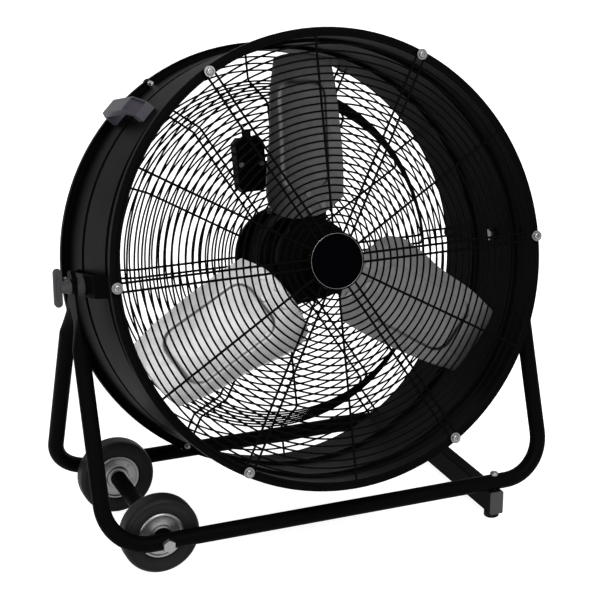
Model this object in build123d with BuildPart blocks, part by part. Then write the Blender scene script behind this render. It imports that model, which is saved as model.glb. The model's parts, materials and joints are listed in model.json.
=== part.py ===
from build123d import *
import math
import os

# Drum fan on a wheeled stand. The drum tilts between the two legs of the stand.
# Frame: +X right as seen from the front, +Y back, +Z up, origin on the floor, millimetres.
# The drum has its own plane: x right, y up, z forward along the air stream, origin on the pivot axis.

os.makedirs("parts", exist_ok=True)

# ------------------------------------------------------------------ driving dimensions
# clearances
running = 0.05          # radial gap of a shaft that turns in its bore
hole_gap = 0.2          # radial gap of a bolt in its hole

# stand
pivot_height = 426.0    # tilt axis above the floor
pivot_back = -16.5      # tilt axis against the middle of the fan's depth
tilt_at_rest = 14.3     # degrees, face up
tube = 25.0             # outer diameter of the stand tube
tube_wall = 1.5
leg_gap = 34.0          # from the shell to a leg's axis
front_reach = 130.4     # pivot to the axis of the front bottom run, along the floor
rear_reach = 174.8      # pivot to the axis of the rear bottom run
corner_radius = 67.0    # bend of the tube's axis
eye_thick = 3.0         # crushed end of a tube
eye_wide = 34.0
eye_below = 48.0        # flat part below the pivot
eye_above = 23.0
eye_taper = 45.0        # from flat to round

# wheels and axle
wheel_radius = 60.0
wheel_width = 33.0
wheel_in = 89.0         # from the left leg's axis to the wheels' middle
disc_radius = 36.0      # pressed disc under the tyre
disc_sheet = 2.0
axle_d = 12.0
axle_head_across = 17.0
axle_head_high = 7.5
bush_radius = 10.0
bush_length = 35.0
spacer_d = 25.0
washer_d = 30.0
front_washer_thick = 1.5
axle_nut_high = 8.0
rear_wheel_reach = 124.5    # pivot to the rear wheel's middle
axle_end_beyond_nut = 4.0

# cross bar
bar_in = 88.0           # from the right leg's axis to the bar's middle
bar_wide = 22.0
foot_high = 9.5
bar_wall = 1.5
bar_overhang = 11.0     # past the axis of each bottom run, without its cap
cap_thick = 3.0
cap_plug = 12.0
foot_d = 24.0
foot_inset = 15.0       # from the end of the bar to the foot's centre
foot_pin_d = 6.0
bar_bolt_d = 8.0
bar_bolt_head_d = 13.0
bar_bolt_head_high = 5.0

# drum
sheet = 1.5
shell_radius = 327.0    # outside of the sheet
rim_wide = 11.5         # the rim's ring outside the shell
rim_lip = 10.0
front_depth = 126.0     # pivot to the front rim's face
rear_depth = 160.0      # pivot to the rear rim's face
groove_wide = 14.0
groove_deep = 5.0
groove_flat = 6.0
front_groove = 66.0     # forward of the pivot
rear_groove = 64.0      # behind the pivot
nut_clearance = 0.5     # from the shell to a guard screw's nut

# guards
ring_wire = 2.8
spoke_wire = 3.5
edge_wire = 4.0
pair_gap = 12.6         # between the two axes of a double spoke
front_first_ring = 56.5
ring_pitch = 10.75
front_edge_gap = 8.0    # least gap left to the edge ring
front_spoke_start = 30.0
rear_first_ring = 85.5
rear_flat_gap = 5.0     # least gap from the last flat ring to the dish
rear_edge_rings = 3
dish_from_shell = 45.0  # from the shell to where the rear guard leaves its rim
dish_wide = 40.0        # from there to where its middle goes flat again
dish_depth = 78.75
dish_ring_count = 7
wire_bend = 8.0
rear_spoke_start = 50.0
badge_radius = 43.0
badge_thick = 2.0
badge_line = 37.5       # raised line on the badge
badge_line_wide = 1.2
badge_line_high = 0.4

# small screws
screw_d = 5.0
screw_washer_d = 16.0
screw_washer_thick = 1.4
screw_head_d = 11.0
screw_head_high = 3.6
screw_length = 22.0
nut_across = 8.0
nut_high = 4.0

# motor
plate_radius = 80.0
plate_thick = 4.0
plate_screw_circle = 75.0
plate_screw_turn = 15.0
plate_screw_d = 5.0
plate_screw_head_d = 8.5
plate_screw_head_high = 3.0
plate_nut_across = 8.0
plate_nut_high = 4.0
motor_radius = 69.0
motor_wall = 2.0
rear_cap_deep = 15.0
housing_long = 58.0
front_cap_deep = 15.0
cap_wall = 4.0
bearing_radius = 20.0
bearing_wide = 12.0
bearing_seat = 5.0      # wall around a bearing
shaft_d = 17.0
stator_inner = 46.0
stator_long = 38.0
rotor_gap = 0.5

# fan
fan_middle = 45.0       # forward of the pivot
hub_radius = 60.0
hub_deep = 18.0
hub_wall = 5.0
hub_boss_radius = 20.0
arm_wide = 72.0
arm_end = 118.0
arm_thick = 4.0
hub_nut_across = 24.0
hub_nut_high = 9.0
shaft_past_nut = 3.0
blade_count = 3
first_blade = 87.3      # degrees, counter-clockwise from +x
blade_pitch = 19.4      # counter-clockwise edge forward
blade_sheet = 1.6
blade_camber = 380.0    # radius of the section, hollow side forward
blade_dip = 2.5         # front side at mid-chord, behind the blade's own plane
blade_root_gap = 2.0    # between the hub's rim and the blade
tip_gap = 21.0          # from the shell's outside to the blade's tip
tip_round = 4.0         # from the tip to its two corners
blade_lead = [(72.0, 86.0), (100.0, 93.0), (140.0, 89.0), (180.0, 80.0)]    # forward edge: out from the axis, along the chord
blade_trail = [(250.0, -60.0), (150.0, -66.0), (88.0, -67.0)]
tip_lead = 55.0
tip_trail = -50.0
slab_reach = math.radians(18)       # half the arc a curved slab is cut from
panel_inner = 106.0
panel_outer = 264.0
panel_low = -38.0
panel_high = 54.0
panel_corner = 20.0
panel_raise = 2.0
rivet_d = 5.0
rivet_head_d = 10.0
rivet_head_high = 2.2
rivet_places = [(80.0, -24.0), (80.0, 32.0), (72.0, 4.0), (98.0, 4.0)]    # out from the axis, along the chord

# switch box
box_angle = 107.3
box_wide = 47.0
box_tall = 84.0
box_deep = 22.0
box_wall = 2.0
box_corner = 8.0
lid_thick = 2.0
lid_screw_d = 4.0
lid_screw_head_d = 8.0
lid_screw_head_high = 2.0
lid_screw_inset = 7.0
gland_d = 14.0
gland_long = 12.0
gland_bore_d = 7.0
knob_d = 26.0
knob_high = 13.0
knob_shaft_d = 6.0
knob_guard_gap = 2.0

# handle
handle_angle = 133.7
handle_wide = 27.0
handle_high = 28.0      # from the shell to its outer face
handle_grip = 10.0      # depth of the bar that is held
handle_front = 20.0
handle_rear = -139.0
handle_crest_front = -20.0
handle_crest_rear = -125.0
handle_lip = 2.5
handle_recess = 3.0
handle_screw_d = 5.0
handle_screw_head_d = 9.0
handle_screw_head_high = 2.6
handle_screw_deep = 14.0

# pivots
bracket_high = 19.0     # from the shell to the hat bracket's outward face
bracket_sheet = 2.5
bracket_tall = 34.0
bracket_top_half = 62.0
bracket_foot_in = 84.0
bracket_foot_out = 99.0
bracket_rivet_d = 4.8
bracket_rivet_head_d = 9.0
bracket_rivet_head_high = 2.0
bracket_rivet_row = 18.0
pivot_bolt_d = 10.0
pivot_head_across = 16.0
pivot_head_high = 6.4
pivot_spacer_d = 30.0
knob_hub_d = 22.0
knob_hub_long = 12.0
wing_reach = 29.0
wing_thick = 7.0
wing_past_leg = 34.0    # outermost point of the wing knob, from the leg's axis

# ------------------------------------------------------------------ places worked out from them
leg_spacing = 2 * (shell_radius + leg_gap)      # between the tube axes of the two legs
base_height = wheel_radius                      # axis of the bottom runs, the axle and the wheels
wheel_x = wheel_in - leg_spacing / 2
bar_x = leg_spacing / 2 - bar_in
bar_high = base_height - tube / 2 - foot_high   # hangs under the runs, down to its feet
rim_radius = shell_radius + rim_wide
bolt_circle = shell_radius + nut_across / 2 + nut_clearance
dish_outer = shell_radius - dish_from_shell
dish_inner = dish_outer - dish_wide
blade_tip = shell_radius - tip_gap
handle_top = shell_radius + handle_high         # from the drum's axis
handle_under = handle_top - handle_grip
bracket_face = shell_radius + bracket_high      # from the middle of the fan
wing_end = leg_spacing / 2 + wing_past_leg
rear_eye = leg_spacing / 2 - eye_thick
front_eye = leg_spacing / 2
eye_outside = front_eye + eye_thick

tilt = math.radians(tilt_at_rest)
pivot = Vector(0, pivot_back, pivot_height)
drum = Plane(origin=pivot, x_dir=(1, 0, 0), z_dir=(0, -math.cos(tilt), math.sin(tilt)))
drum_section = Plane(origin=pivot, x_dir=drum.x_dir, z_dir=drum.y_dir * -1)    # x radius, y depth
drum_axis = Axis(pivot, drum.z_dir)

front_ring_plane = front_depth + ring_wire / 2 + (edge_wire - ring_wire) / 2
edge_ring_plane = front_depth + edge_wire / 2
front_spoke_plane = front_ring_plane + ring_wire / 2 + spoke_wire / 2
edge_ring_radius = bolt_circle - screw_d / 2 - hole_gap - edge_wire / 2
single_spoke_end = edge_ring_radius - 0.3
front_ring_count = int((edge_ring_radius - front_edge_gap - front_first_ring) / ring_pitch) + 1
rear_ring_count = int((dish_inner - rear_flat_gap - rear_first_ring) / ring_pitch) + 1

rear_ring_plane = -rear_depth - (front_ring_plane - front_depth)
rear_middle_plane = rear_ring_plane + dish_depth
wire_step = ring_wire / 2 + spoke_wire / 2
dish_slope = math.atan2(dish_depth, dish_outer - dish_inner)
dish_shift = wire_step * math.tan(dish_slope / 2)

plate_back = rear_middle_plane - wire_step + spoke_wire / 2
plate_front = plate_back + plate_thick
housing_back = plate_front + rear_cap_deep
housing_front = housing_back + housing_long
motor_front = housing_front + front_cap_deep
rear_bearing_back = plate_front + cap_wall
front_bearing_back = motor_front - cap_wall - bearing_wide
stator_back = housing_back + (housing_long - stator_long) / 2
bearing_bore = shaft_d / 2 + running
hub_back = fan_middle - hub_deep / 2
hub_front = fan_middle + hub_deep / 2


def polar(radius, angle):
    """Point at an angle in degrees, counter-clockwise from +x as seen from the front."""
    return (radius * math.cos(math.radians(angle)), radius * math.sin(math.radians(angle)))


def drum_point(x, y, forward):
    """Point of the drum's own plane in the fan's frame."""
    return drum.from_local_coords(Vector(x, y, forward))


def drum_direction(x, y, forward):
    """Direction of the drum's own plane in the fan's frame."""
    return drum_point(x, y, forward) - pivot


def along_y(x, y, z, towards=-1):
    """Plane across the Y axis, facing the front unless told otherwise."""
    return Plane(origin=(x, y, z), x_dir=(1, 0, 0), z_dir=(0, towards, 0))


def save(piece, name):
    """Label a finished piece and write it under its name."""
    piece.label = name
    export_step(piece, f"parts/{name}.step")


def hexagon(across, turn=0.0):
    """Hexagon by its size across flats, one flat facing +x before the turn."""
    RegularPolygon(radius=across / 2, side_count=6, major_radius=False, rotation=30 + turn)


# ------------------------------------------------------------------ stand frames
front_run_y = pivot_back - front_reach
rear_run_y = pivot_back + rear_reach
axle_hole = axle_d / 2 + hole_gap
bar_bolt_hole = bar_bolt_d / 2 + hole_gap


def stand_frame(reach, eye_middle):
    """U of tube whose crushed ends hang on the pivot bolts.

    reach is the run's place from the pivot, back positive; eye_middle is the
    mid-plane of the crushed end from the middle of the fan.
    """
    rise = Vector(0, -reach, pivot_height - base_height)
    leg_long = rise.length
    up = rise.normalized()
    leg_plane = Plane(origin=pivot, x_dir=(1, 0, 0), z_dir=Vector(1, 0, 0).cross(up))
    half = leg_spacing / 2
    round_end = eye_below + eye_taper
    with BuildPart() as frame:
        with BuildLine(leg_plane) as run:
            FilletPolyline(
                (-half, -round_end), (-half, -leg_long), (half, -leg_long), (half, -round_end),
                radius=corner_radius,
            )
        with BuildSketch(Plane(origin=run.line @ 0, x_dir=(1, 0, 0), z_dir=run.line % 0)):
            Circle(tube / 2)
            Circle(tube / 2 - tube_wall, mode=Mode.SUBTRACT)
        sweep(path=run.wire())
        for side in (-1, 1):
            round_at = leg_plane.from_local_coords(Vector(side * half, -round_end, 0))
            flat_at = leg_plane.from_local_coords(Vector(side * eye_middle, -eye_below, 0))
            with BuildSketch(Plane(origin=round_at, x_dir=(1, 0, 0), z_dir=up)):
                Circle(tube / 2)
            with BuildSketch(Plane(origin=flat_at, x_dir=(1, 0, 0), z_dir=up)):
                Ellipse(eye_thick / 2, eye_wide / 2)
            loft()
            eye_plane = Plane(
                origin=pivot + Vector(side * eye_middle, 0, 0), x_dir=leg_plane.z_dir, z_dir=(1, 0, 0)
            )
            if eye_plane.y_dir.dot(up) < 0:
                eye_plane = Plane(origin=eye_plane.origin, x_dir=eye_plane.x_dir * -1, z_dir=(1, 0, 0))
            with BuildSketch(eye_plane) as eye:
                Polygon(
                    (-eye_wide / 2, -eye_below), (eye_wide / 2, -eye_below), (eye_wide / 2, 2),
                    (eye_wide / 4, eye_above), (-eye_wide / 4, eye_above), (-eye_wide / 2, 2),
                    align=None,
                )
                fillet(eye.vertices().group_by(Axis.Z)[-1], 4)
                Circle(pivot_bolt_d / 2 + running, mode=Mode.SUBTRACT)
            extrude(amount=eye_thick / 2, both=True)
        run_y = pivot_back + reach
        with BuildSketch(along_y(wheel_x, run_y, base_height)):
            Circle(axle_hole)
        extrude(amount=tube, both=True, mode=Mode.SUBTRACT)
        with BuildSketch(Plane(origin=(bar_x, run_y, base_height))):
            Circle(bar_bolt_hole)
        extrude(amount=tube, both=True, mode=Mode.SUBTRACT)
    return frame.part


save(stand_frame(-front_reach, front_eye + eye_thick / 2), "front_frame")
save(stand_frame(rear_reach, rear_eye + eye_thick / 2), "rear_frame")

# ------------------------------------------------------------------ axle and wheels
front_tube_front = front_run_y - tube / 2
front_tube_back = front_run_y + tube / 2
rear_tube_front = rear_run_y - tube / 2
rear_tube_back = rear_run_y + tube / 2
front_bush_front = front_tube_back + front_washer_thick
front_wheel_y = front_bush_front + bush_length / 2
rear_wheel_y = pivot_back + rear_wheel_reach
rear_bush_back = rear_wheel_y + bush_length / 2
axle_end = rear_tube_back + axle_nut_high + axle_end_beyond_nut

with BuildPart() as axle_rod:
    with BuildSketch(along_y(wheel_x, front_tube_front, base_height)):
        hexagon(axle_head_across)
    extrude(amount=axle_head_high)
    with BuildSketch(along_y(wheel_x, front_tube_front, base_height, 1)):
        Circle(axle_d / 2)
    extrude(amount=axle_end - front_tube_front)
save(axle_rod.part, "axle_rod")

with BuildPart() as axle_nut:
    with BuildSketch(along_y(wheel_x, rear_tube_back, base_height, 1)):
        hexagon(axle_head_across)
        Circle(axle_d / 2, mode=Mode.SUBTRACT)
    extrude(amount=axle_nut_high)
save(axle_nut.part, "axle_nut")

with BuildPart() as axle_spacer:
    with BuildSketch(along_y(wheel_x, front_wheel_y + bush_length / 2, base_height, 1)):
        Circle(spacer_d / 2)
        Circle(axle_d / 2, mode=Mode.SUBTRACT)
    extrude(amount=rear_wheel_y - front_wheel_y - bush_length)
save(axle_spacer.part, "axle_spacer")

with BuildPart() as axle_washers:
    with BuildSketch(along_y(wheel_x, front_tube_back, base_height, 1)):
        Circle(washer_d / 2)
        Circle(axle_d / 2, mode=Mode.SUBTRACT)
    extrude(amount=front_washer_thick)
    with BuildSketch(along_y(wheel_x, rear_bush_back, base_height, 1)):
        Circle(spacer_d / 2)
        Circle(axle_d / 2, mode=Mode.SUBTRACT)
    extrude(amount=rear_tube_front - rear_bush_back)
save(axle_washers.part, "axle_washers")


def wheel_section(middle):
    """Plane through a wheel's axle: x is the radius, y runs along the axle."""
    return Plane(origin=(wheel_x, middle, base_height), x_dir=(1, 0, 0), z_dir=(0, 0, -1))


def make_wheel(name, middle):
    """Tyre, two pressed discs and the bearing bush of one wheel."""
    spin = Axis((wheel_x, middle, base_height), (0, 1, 0))
    half = wheel_width / 2
    shoulder = wheel_radius - 3
    with BuildPart() as tyre:
        with BuildSketch(wheel_section(middle)) as section:
            Polygon(
                (disc_radius, -half + 5), (disc_radius + 2.5, -half + 2), (disc_radius + 14, -half),
                (shoulder, -half + 1.5), (wheel_radius, -half + 6), (wheel_radius, half - 6),
                (shoulder, half - 1.5), (disc_radius + 14, half), (disc_radius + 2.5, half - 2),
                (disc_radius, half - 5),
                align=None,
            )
            fillet(section.vertices().filter_by(lambda v: (v.center() - Vector(spin.position)).length > disc_radius + 8), 1.5)
        revolve(axis=spin)
    save(tyre.part, f"{name}_tyre")

    with BuildPart() as discs:
        with BuildSketch(wheel_section(middle)):
            for side in (-1, 1):
                Polygon(
                    (bush_radius, side * 16.5), (bush_radius, side * 14.5), (14, side * 14.5),
                    (17, side * (11 - disc_sheet)), (disc_radius - 6, side * (11 - disc_sheet)),
                    (disc_radius - disc_sheet, side * 7), (disc_radius - disc_sheet, 0),
                    (disc_radius, 0), (disc_radius, side * 11.5), (disc_radius - 1.5, side * 13),
                    (disc_radius - 3.5, side * 13), (disc_radius - 5, side * 11), (18, side * 11),
                    (15.5, side * 16.5),
                    align=None,
                )
        revolve(axis=spin)
    save(discs.part, f"{name}_wheel_discs")

    with BuildPart() as bush:
        with BuildSketch(along_y(wheel_x, middle, base_height)):
            Circle(bush_radius)
            Circle(axle_d / 2 + running, mode=Mode.SUBTRACT)
        extrude(amount=bush_length / 2, both=True)
    save(bush.part, f"{name}_wheel_bush")


make_wheel("front", front_wheel_y)
make_wheel("rear", rear_wheel_y)

# ------------------------------------------------------------------ cross bar
bar_top = base_height - tube / 2
bar_bottom = bar_top - bar_high
bar_middle = bar_top - bar_high / 2
bar_front = front_run_y - bar_overhang
bar_back = rear_run_y + bar_overhang
bar_ends = ((bar_front, -1), (bar_back, 1))
foot_places = [y - towards * foot_inset for y, towards in bar_ends]
bolt_below_nut = 3.0
plug_high = bar_high - 2 * bar_wall - nut_high - bolt_below_nut - 1.5       # stays under the bolt
plug_middle = bar_bottom + bar_wall + plug_high / 2

with BuildPart() as cross_bar:
    with BuildSketch(along_y(bar_x, bar_front, bar_middle, 1)) as bar_section:
        RectangleRounded(bar_wide, bar_high, 2)
        Rectangle(bar_wide - 2 * bar_wall, bar_high - 2 * bar_wall, mode=Mode.SUBTRACT)
    extrude(amount=bar_back - bar_front)
    for run_y in (front_run_y, rear_run_y):
        with BuildSketch(Plane(origin=(bar_x, run_y, bar_top))):
            Circle(bar_bolt_hole)
        extrude(amount=-bar_high / 2, mode=Mode.SUBTRACT)
    for foot_y in foot_places:
        with BuildSketch(Plane(origin=(bar_x, foot_y, bar_bottom))):
            Circle(foot_pin_d / 2)
        extrude(amount=bar_high / 2, mode=Mode.SUBTRACT)
save(cross_bar.part, "cross_bar")

with BuildPart() as end_caps:
    for end_y, towards in bar_ends:
        with BuildSketch(along_y(bar_x, end_y, bar_middle, towards)):
            RectangleRounded(bar_wide, bar_high, 2)
        extrude(amount=cap_thick)
        with BuildSketch(along_y(bar_x, end_y, plug_middle, -towards)):
            Rectangle(bar_wide - 2 * bar_wall, plug_high)
            Rectangle(bar_wide - 5 * bar_wall, plug_high - 3 * bar_wall, mode=Mode.SUBTRACT)
        extrude(amount=min(cap_plug, foot_inset - foot_pin_d / 2 - 1))
    fillet(end_caps.faces().group_by(Axis.Y)[0].edges() + end_caps.faces().group_by(Axis.Y)[-1].edges(), 1)
save(end_caps.part, "cross_bar_end_caps")

with BuildPart() as feet:
    for foot_y in foot_places:
        with BuildSketch(Plane(origin=(bar_x, foot_y, 0))):
            Circle(foot_d / 2)
        extrude(amount=bar_bottom)
        with BuildSketch(Plane(origin=(bar_x, foot_y, bar_bottom))):
            Circle(foot_pin_d / 2)
        extrude(amount=3 * bar_wall)
    chamfer(feet.edges().filter_by(GeomType.CIRCLE).group_by(Axis.Z)[0], 1.5)
save(feet.part, "rubber_feet")

with BuildPart() as bar_bolts:
    for run_y in (front_run_y, rear_run_y):
        with BuildSketch(Plane(origin=(bar_x, run_y, base_height + tube / 2))):
            Circle(bar_bolt_head_d / 2)
        extrude(amount=bar_bolt_head_high)
        with BuildSketch(Plane(origin=(bar_x, run_y, base_height + tube / 2))):
            Circle(bar_bolt_d / 2)
        extrude(amount=-(tube + bar_wall + nut_high + bolt_below_nut))
    fillet(bar_bolts.edges().filter_by(GeomType.CIRCLE).group_by(Axis.Z)[-1], 3)
save(bar_bolts.part, "cross_bar_bolts")

with BuildPart() as bar_nuts:
    for run_y in (front_run_y, rear_run_y):
        with BuildSketch(Plane(origin=(bar_x, run_y, bar_top - bar_wall))):
            hexagon(bar_bolt_d * 1.6)
            Circle(bar_bolt_d / 2, mode=Mode.SUBTRACT)
        extrude(amount=-nut_high)
save(bar_nuts.part, "cross_bar_nuts")

# ------------------------------------------------------------------ drum shell
def groove_points(middle, radius):
    """Corners of one swaged groove on a side of the sheet, from its front to its rear."""
    return [
        (radius, middle + groove_wide / 2),
        (radius - groove_deep, middle + groove_flat / 2),
        (radius - groove_deep, middle - groove_flat / 2),
        (radius, middle - groove_wide / 2),
    ]


def shell_side(radius):
    """One side of the sheet from its front edge to its rear edge."""
    return [
        (radius, front_depth), *groove_points(front_groove, radius), *groove_points(-rear_groove, radius),
        (radius, -rear_depth),
    ]


pivot_hole = pivot_bolt_d / 2 + hole_gap
bracket_rivet_hole = bracket_rivet_d / 2
handle_screw_hole = handle_screw_d / 2 + hole_gap
handle_screw_depths = (handle_front / 2, (handle_rear + handle_crest_rear) / 2 + 2)
bracket_rivet_depth = (bracket_foot_in + bracket_foot_out) / 2
handle_out = drum_direction(*polar(1, handle_angle), 0)

with BuildPart() as drum_shell:
    with BuildSketch(drum_section):
        Polygon(*shell_side(shell_radius), *reversed(shell_side(shell_radius - sheet)), align=None)
    revolve(axis=drum_axis)
    side_plane = Plane(origin=pivot, x_dir=drum.z_dir, z_dir=(1, 0, 0))
    with BuildSketch(side_plane):
        Circle(pivot_hole)
        with GridLocations(2 * bracket_rivet_depth, bracket_rivet_row, 2, 2):
            Circle(bracket_rivet_hole)
    extrude(amount=shell_radius + 1, both=True, mode=Mode.SUBTRACT)
    for depth in handle_screw_depths:
        with BuildSketch(Plane(origin=drum_point(0, 0, depth), z_dir=handle_out)):
            Circle(handle_screw_hole)
        extrude(amount=shell_radius + 1, mode=Mode.SUBTRACT)
save(drum_shell.part, "drum_shell")


def rim_ring(face, inward):
    """Angle ring welded round the shell's edge; face is its depth and inward points along the shell."""
    edge = face + inward * sheet
    lip = face + inward * rim_lip
    with BuildPart() as ring:
        with BuildSketch(drum_section):
            Polygon(
                (shell_radius, face), (rim_radius, face), (rim_radius, lip), (rim_radius - sheet, lip),
                (rim_radius - sheet, edge), (shell_radius, edge),
                align=None,
            )
        revolve(axis=drum_axis)
        with BuildSketch(drum.offset(face)):
            with PolarLocations(bolt_circle, 6):
                Circle(screw_d / 2 + hole_gap)
        extrude(amount=2 * sheet, both=True, mode=Mode.SUBTRACT)
    return ring.part


save(rim_ring(front_depth, -1), "front_rim_ring")
save(rim_ring(-rear_depth, 1), "rear_rim_ring")

# ------------------------------------------------------------------ guards
def wire_rings(places):
    """Separate closed rings; each place is radius, depth and wire diameter."""
    with BuildPart() as rings:
        with BuildSketch(drum_section):
            for radius, depth, wire in places:
                with Locations((radius, depth)):
                    Circle(wire / 2)
        revolve(axis=drum_axis)
    return rings.part


def bent_wire(points, bends):
    """One straight or bent wire through points of the drum's own plane."""
    route = [drum_point(*point) for point in points]
    with BuildPart() as wire:
        with BuildLine() as path:
            if bends:
                FilletPolyline(*route, radius=bends)
            else:
                Line(*route)
        with BuildSketch(Plane(origin=path.line @ 0, z_dir=path.line % 0)):
            Circle(spoke_wire / 2)
        sweep(path=path.wire())
    return wire.part


def guard_spokes(profile, single_end):
    """Six hairpins round the bolts and six single wires between them.

    profile lists radius and depth from the middle outwards; its last point is
    the bolt circle, where a hairpin turns round the bolt.
    """
    half = pair_gap / 2
    loop = bolt_circle + half
    wires = []
    for index in range(6):
        along = polar(1, 60 * index)
        across = polar(1, 60 * index + 90)
        out_line = [*profile[:-1], (loop, profile[-1][1])]
        points = [(r * along[0] + half * across[0], r * along[1] + half * across[1], w) for r, w in out_line]
        points += [
            (r * along[0] - half * across[0], r * along[1] - half * across[1], w)
            for r, w in reversed(out_line)
        ]
        bends = [wire_bend] * (len(profile) - 2)
        wires.append(bent_wire(points, bends + [half * 0.98, half * 0.98] + bends))
        single = [*profile[:-1], (single_end, profile[-1][1])]
        points = [(*polar(r, 60 * index + 30), w) for r, w in single]
        wires.append(bent_wire(points, bends))
    return wires


front_rings = [
    (front_first_ring + ring_pitch * index, front_ring_plane, ring_wire) for index in range(front_ring_count)
]
front_rings.append((edge_ring_radius, edge_ring_plane, edge_wire))
inner_count = len(front_rings) // 2
save(wire_rings(front_rings[:inner_count]), "front_guard_inner_rings")
save(wire_rings(front_rings[inner_count:]), "front_guard_outer_rings")

front_profile = [(front_spoke_start, front_spoke_plane), (bolt_circle, front_spoke_plane)]
save(Compound(children=guard_spokes(front_profile, single_spoke_end)), "front_guard_spokes")

# the rear guard is welded of three sets of wire: flat middle rings, rings of the dish, spokes
middle_rings = [
    (rear_first_ring + ring_pitch * index, rear_middle_plane, ring_wire) for index in range(rear_ring_count)
]
save(wire_rings(middle_rings), "rear_guard_middle_rings")

dish_rings = [(edge_ring_radius, -rear_depth - edge_wire / 2, edge_wire)]
for index in range(1, rear_edge_rings + 1):
    dish_rings.append((edge_ring_radius - ring_pitch * index, rear_ring_plane, ring_wire))
for index in range(1, dish_ring_count + 1):
    share = index / (dish_ring_count + 1)
    dish_rings.append((
        dish_inner + (dish_outer - dish_inner) * share, rear_middle_plane - dish_depth * share, ring_wire,
    ))
save(wire_rings(dish_rings), "rear_guard_dish_rings")

rear_profile = [
    (rear_spoke_start, rear_middle_plane - wire_step),
    (dish_inner - dish_shift, rear_middle_plane - wire_step),
    (dish_outer - dish_shift, rear_ring_plane - wire_step),
    (bolt_circle, rear_ring_plane - wire_step),
]
save(Compound(children=guard_spokes(rear_profile, single_spoke_end)), "rear_guard_spokes")

badge_back = front_spoke_plane + spoke_wire / 2
with BuildPart() as badge:
    with BuildSketch(drum.offset(badge_back)):
        Circle(badge_radius)
    extrude(amount=badge_thick)
    chamfer(badge.faces().sort_by(drum_axis)[-1].edges(), 0.8)
    with BuildSketch(drum.offset(badge_back + badge_thick)):
        Circle(badge_line + badge_line_wide / 2)
        Circle(badge_line - badge_line_wide / 2, mode=Mode.SUBTRACT)
    extrude(amount=badge_line_high)
save(badge.part, "centre_badge")


def guard_screws(face, outward):
    """Six washer-head screws that stand on a guard's hairpins.

    face is the depth of the wires' outer side and outward is 1 forward or -1 back.
    """
    with BuildPart() as screws:
        seat = Plane(origin=drum_point(0, 0, face), x_dir=drum.x_dir, z_dir=drum.z_dir * outward)
        with BuildSketch(seat):
            with PolarLocations(bolt_circle, 6):
                Circle(screw_washer_d / 2)
        extrude(amount=screw_washer_thick)
        with BuildSketch(seat.offset(screw_washer_thick)):
            with PolarLocations(bolt_circle, 6):
                Circle(screw_head_d / 2)
        extrude(amount=screw_head_high)
        head_top = screws.faces().sort_by(Axis(seat.origin, seat.z_dir))[-6:]
        fillet(head_top.edges(), screw_head_high * 0.7)
        with BuildSketch(seat.offset(screw_washer_thick + screw_head_high)):
            with PolarLocations(bolt_circle, 6):
                Rectangle(screw_head_d * 0.55, 1.2)
                Rectangle(1.2, screw_head_d * 0.55)
        extrude(amount=-1.8, mode=Mode.SUBTRACT)
        with BuildSketch(seat):
            with PolarLocations(bolt_circle, 6):
                Circle(screw_d / 2)
        extrude(amount=-screw_length)
    return screws.part


def guard_nuts(face, inward):
    """Six nuts behind a rim; face is the rim's inner side."""
    with BuildPart() as nuts:
        with BuildSketch(drum.offset(face)):
            with PolarLocations(bolt_circle, 6):
                hexagon(nut_across)
                Circle(screw_d / 2, mode=Mode.SUBTRACT)
        extrude(amount=inward * nut_high)
    return nuts.part


save(guard_screws(badge_back, 1), "front_guard_screws")
save(guard_nuts(front_depth - sheet, -1), "front_guard_nuts")
save(guard_screws(rear_ring_plane - wire_step - spoke_wire / 2, -1), "rear_guard_screws")
save(guard_nuts(-rear_depth + sheet, 1), "rear_guard_nuts")

# ------------------------------------------------------------------ motor
with BuildPart() as motor_plate:
    with BuildSketch(drum.offset(plate_back)):
        Circle(plate_radius)
        with PolarLocations(plate_screw_circle, 4, start_angle=plate_screw_turn):
            Circle(plate_screw_d / 2 + hole_gap, mode=Mode.SUBTRACT)
    extrude(amount=plate_thick)
save(motor_plate.part, "motor_plate")

with BuildPart() as rear_cap:
    with BuildSketch(drum_section):
        Polygon(
            (0, plate_front), (plate_radius, plate_front), (plate_radius, plate_front + cap_wall),
            (motor_radius, plate_front + cap_wall), (motor_radius, housing_back),
            (motor_radius - cap_wall, housing_back), (motor_radius - cap_wall, plate_front + cap_wall),
            (bearing_radius + bearing_seat, plate_front + cap_wall),
            (bearing_radius + bearing_seat, rear_bearing_back + bearing_wide),
            (bearing_radius, rear_bearing_back + bearing_wide), (bearing_radius, rear_bearing_back),
            (0, rear_bearing_back),
            align=None,
        )
    revolve(axis=drum_axis)
    with BuildSketch(drum.offset(plate_front)):
        with PolarLocations(plate_screw_circle, 4, start_angle=plate_screw_turn):
            Circle(plate_screw_d / 2 + hole_gap)
    extrude(amount=cap_wall, mode=Mode.SUBTRACT)
save(rear_cap.part, "motor_rear_cap")

with BuildPart() as plate_screws:
    with BuildSketch(drum.offset(plate_front + cap_wall)):
        with PolarLocations(plate_screw_circle, 4, start_angle=plate_screw_turn):
            Circle(plate_screw_head_d / 2)
    extrude(amount=plate_screw_head_high)
    with BuildSketch(drum.offset(plate_front + cap_wall)):
        with PolarLocations(plate_screw_circle, 4, start_angle=plate_screw_turn):
            Circle(plate_screw_d / 2)
    extrude(amount=-(cap_wall + plate_thick + plate_nut_high + 1))
save(plate_screws.part, "motor_plate_screws")

with BuildPart() as plate_nuts:
    with BuildSketch(drum.offset(plate_back)):
        with PolarLocations(plate_screw_circle, 4, start_angle=plate_screw_turn):
            hexagon(plate_nut_across)
            Circle(plate_screw_d / 2, mode=Mode.SUBTRACT)
    extrude(amount=-plate_nut_high)
save(plate_nuts.part, "motor_plate_nuts")

with BuildPart() as housing:
    with BuildSketch(drum.offset(housing_back)):
        Circle(motor_radius)
        Circle(motor_radius - motor_wall, mode=Mode.SUBTRACT)
    extrude(amount=housing_long)
save(housing.part, "motor_housing")

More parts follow.
